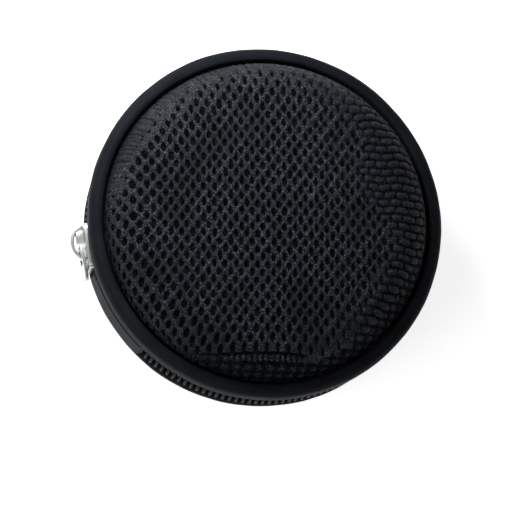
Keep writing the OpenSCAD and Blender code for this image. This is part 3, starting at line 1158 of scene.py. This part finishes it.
def net():
    net_height = ZIP_Z + NET_Z
    bpy.ops.mesh.primitive_grid_add(x_subdivisions=NET_CELLS, y_subdivisions=NET_CELLS,
                                    size=NET_CELLS * NET_CELL * MM, rotation=(0, 0, math.pi / 4),
                                    location=(0, 0, net_height * MM))
    piece = bpy.context.object
    piece.name = "lid_pocket_net"
    bpy.ops.object.transform_apply(location=True, rotation=True, scale=True)
    start_editing(piece)
    bpy.ops.mesh.select_all(action="DESELECT")
    bpy.ops.object.mode_set(mode="OBJECT")
    places = points_of(piece) / MM
    outside = (np.hypot(places[:, 0], places[:, 1]) > POCKET_R - 0.5) | (places[:, 1] < 0.9)
    piece.data.vertices.foreach_set("select", outside)
    bpy.ops.object.mode_set(mode="EDIT")
    bpy.ops.mesh.delete(type="VERT")
    bpy.ops.object.mode_set(mode="OBJECT")
    threads = piece.modifiers.new("threads", "WIREFRAME")
    threads.thickness = NET_THREAD * MM
    threads.use_even_offset = False
    bpy.ops.object.modifier_apply(modifier=threads.name)
    low, high, inner_r = net_height - 0.2, net_height + 0.2, POCKET_R - EDGE_TAPE_W
    section = [(inner_r, low), (POCKET_R, low), (POCKET_R, high), (inner_r, high)]
    edge_tape = spun("net_edge", section, 64, 3.0, 174.0)
    select_only(piece, edge_tape)
    bpy.ops.object.join()
    places = points_of(piece) / MM
    cloth_map(piece, places[:, 0], places[:, 1])
    return dress(piece, NET, "lid", ["pocket_net"], smooth=30.0)


def elastic_hem():
    bpy.ops.mesh.primitive_cube_add(size=1.0)
    piece = bpy.context.object
    piece.name = "lid_pocket_hem"
    piece.scale = (HEM_LENGTH * MM, HEM_WIDTH * MM, HEM_HEIGHT * MM)
    piece.location = (0, 0, (ZIP_Z + NET_Z) * MM)
    bpy.ops.object.transform_apply(location=True, rotation=True, scale=True)
    start_editing(piece)
    bpy.ops.mesh.bevel(offset=0.3 * MM, segments=2, affect="EDGES")
    for number in range(1, HEM_CUTS):
        bpy.ops.mesh.select_all(action="SELECT")
        cut_x = (number / HEM_CUTS - 0.5) * CUT_LENGTH * MM
        bpy.ops.mesh.bisect(plane_co=(cut_x, 0, 0), plane_no=(1, 0, 0))
    stop_editing()
    places = points_of(piece) / MM
    along = places[:, 0] * 2 * math.pi
    gather = np.sin(along / 2.6) * 0.10 + np.sin(along / 4.1 + 1) * 0.06
    places[:, 2] += gather * places[:, 1] / (HEM_WIDTH / 2)
    set_points(piece, places * MM)
    cloth_map(piece, places[:, 0], places[:, 1] + places[:, 2])
    return dress(piece, ELASTIC, "lid", ["pocket_hem"], smooth=50.0)


pocket_hem = elastic_hem()
pocket_net = net()

# %% [markdown]
# The floor is pale paper: it takes the case's soft shadow. It looks whiter, and the rest of its
# white is added, only where the camera or a reflection sees it.


# %% Floor
WHITE = (1.0, 1.0, 1.0, 1.0)
PAPER = 0.60
PAPER_SEEN = 0.30
PAPER_GLOW = 0.80


def floor_material():
    finish = Finish("white paper")
    camera_ray = finish.node("ShaderNodeLightPath", output="Is Camera Ray")
    seen = camera_ray
    for name in ("Is Glossy Ray", "Is Transmission Ray"):
        seen = finish.maths("MAXIMUM", seen, camera_ray.other(name))
    paper = finish.node("ShaderNodeBsdfDiffuse", {}, {"Color": seen * PAPER_SEEN + PAPER})
    glow = finish.node("ShaderNodeEmission", {}, {"Color": WHITE, "Strength": seen * PAPER_GLOW})
    return finish.finished(finish.node("ShaderNodeAddShader", {}, {0: paper, 1: glow}))


bpy.ops.mesh.primitive_plane_add(size=6.0, location=(0, 0, 0))
floor = bpy.context.object
floor.name = "floor"
floor.data.materials.append(floor_material())

# %% [markdown]
# The studio is a close soft lamp at the upper left of the picture, a weak one that fills in from
# the lower left, and a pale sky. The near lamp lights the lid most on its own side.


# %% Lamps and sky
LIT_PLACE = Vector((0, 0, 0.03))
SKY_STRENGTH = 0.13


def soft_lamp(name, toward, rise, distance, size, strength):
    """A disc lamp in a direction on the floor, raised by an angle, both in degrees.
    Its strength is the light that it gives a surface facing it at the lit place."""
    turn_angle, rise_angle = math.radians(toward), math.radians(rise)
    direction = Vector((
        math.cos(turn_angle) * math.cos(rise_angle),
        math.sin(turn_angle) * math.cos(rise_angle),
        math.sin(rise_angle),
    ))
    bpy.ops.object.light_add(type="AREA", location=direction * distance + LIT_PLACE)
    lamp = bpy.context.object
    lamp.name = name
    lamp.data.shape = "DISK"
    lamp.data.size = size
    lamp.data.energy = strength * math.pi * math.pi * distance * distance
    lamp.rotation_mode = "QUATERNION"
    lamp.rotation_quaternion = direction.to_track_quat("Z", "Y")
    print(name, round(lamp.data.energy, 3), "W")


soft_lamp("key lamp", -1.0, 36.0, 0.135, 0.07, 1.10)
soft_lamp("fill lamp", 98.0, 42.0, 0.25, 0.12, 0.30)
world = bpy.data.worlds.new("sky")
bpy.context.scene.world = world
world.use_nodes = True
sky = world.node_tree.nodes["Background"].inputs
sky["Color"].default_value = WHITE
sky["Strength"].default_value = SKY_STRENGTH
bpy.context.scene.view_settings.view_transform = "Standard"
